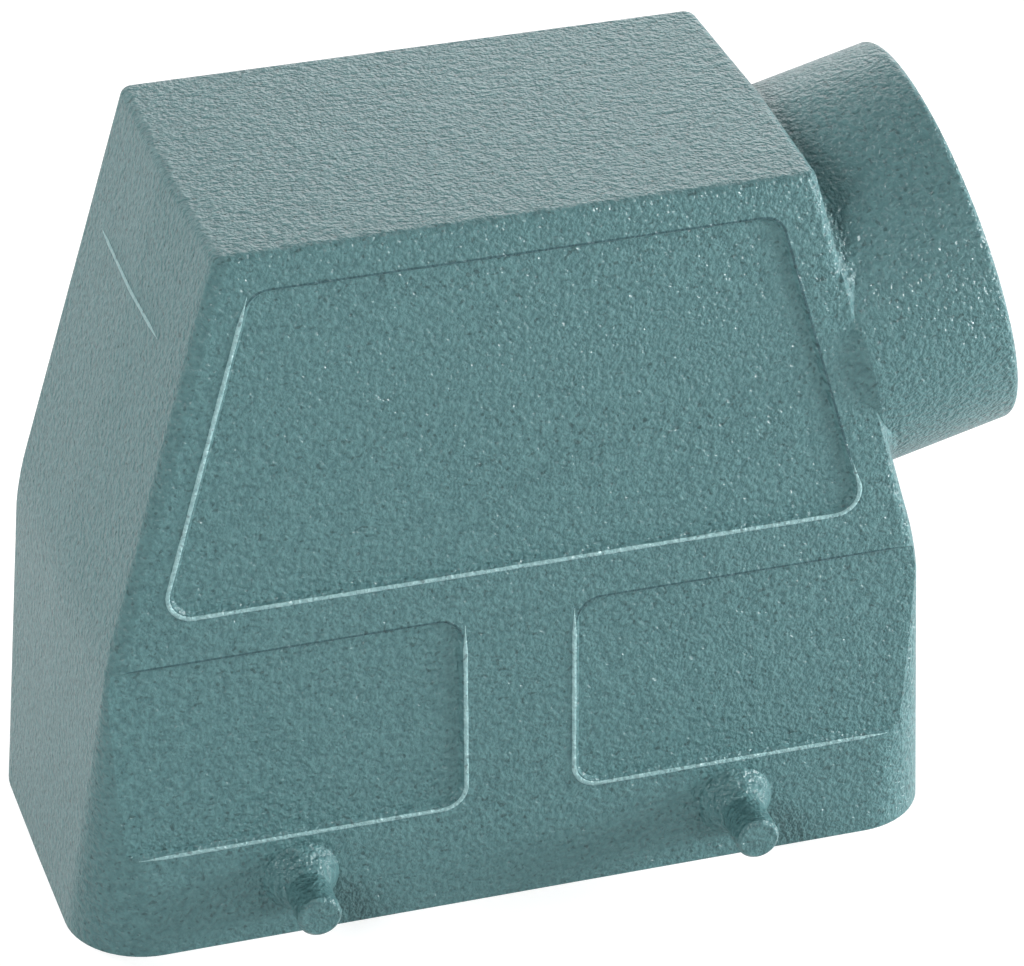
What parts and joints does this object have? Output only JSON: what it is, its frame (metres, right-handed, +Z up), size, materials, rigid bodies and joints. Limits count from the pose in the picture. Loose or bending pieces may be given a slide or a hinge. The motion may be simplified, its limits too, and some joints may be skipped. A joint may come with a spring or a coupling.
{
  "type": "heavy duty rectangular connector",
  "caption": "Rectangular die-cast connector hood with a tilted side cable entry, cast locking pegs and a male insert with screw terminals.",
  "frame": {"origin": "centre of the hood's open rim, in the plane that the rim stands on", "axes": "+X along the hood towards the cable spout, +Y to the back, +Z up out of the rim plane"},
  "size_m": [0.1038, 0.0578, 0.0797],
  "materials": {
    "hood_coat": "satin",
    "insert_plastic": "satin",
    "contact_metal": "polished",
    "plate_steel": "satin",
    "screw_steel": "satin"
  },
  "bodies": {
    "root": {"hood_casting": "hood_coat", "insert_body": "insert_plastic", "contact_01": "contact_metal", "contact_02": "contact_metal", "contact_03": "contact_metal", "contact_04": "contact_metal", "contact_05": "contact_metal", "contact_06": "contact_metal", "contact_07": "contact_metal", "contact_08": "contact_metal", "contact_09": "contact_metal", "contact_10": "contact_metal", "contact_11": "contact_metal", "contact_12": "contact_metal", "contact_13": "contact_metal", "contact_14": "contact_metal", "contact_15": "contact_metal", "contact_16": "contact_metal", "terminal_screws": "screw_steel", "earth_plate_cable_end": "plate_steel", "earth_plate_far_end": "plate_steel", "earth_washers": "screw_steel", "earth_screws": "screw_steel", "fixing_screws": "screw_steel"}
  },
  "joints": []
}
